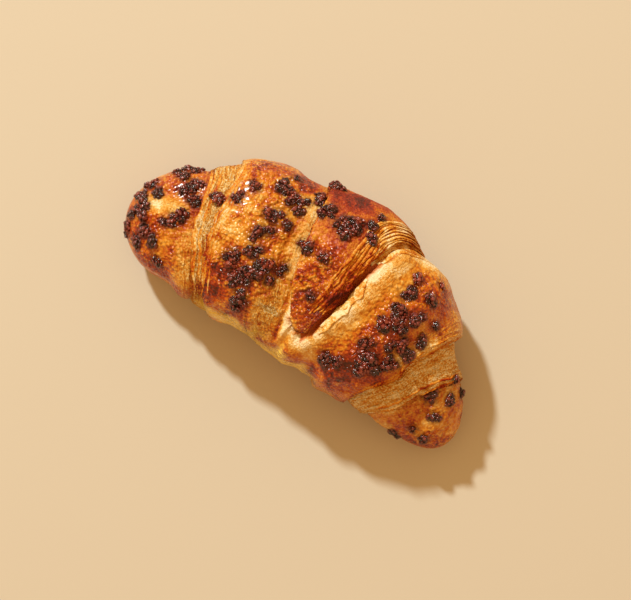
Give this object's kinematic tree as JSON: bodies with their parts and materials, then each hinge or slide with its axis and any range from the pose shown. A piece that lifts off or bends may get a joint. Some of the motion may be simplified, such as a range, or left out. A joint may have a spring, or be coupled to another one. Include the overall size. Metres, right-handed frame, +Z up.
{
  "type": "chocolate croissant",
  "caption": "Pain au chocolat in croissant form: a bent roll of golden, layered pastry with a pointed flap on top and chocolate nuggets baked on its crust.",
  "frame": {"origin": "middle of the footprint's box, on the surface that the pastry rests on", "axes": "+X runs along the roll, from the end with many nuggets to the end with few; the hollow side of the bend faces -Y; +Z is up, out of the glazed top"},
  "size_m": [0.167, 0.079, 0.0501],
  "materials": {
    "crust": "baked, egg-glazed golden-brown pastry crust with pale layered seams",
    "chocolate": "dark, lumpy chocolate nuggets with a satin, partly melted surface"
  },
  "bodies": {
    "root": {"croissant": "crust"}
  },
  "joints": []
}
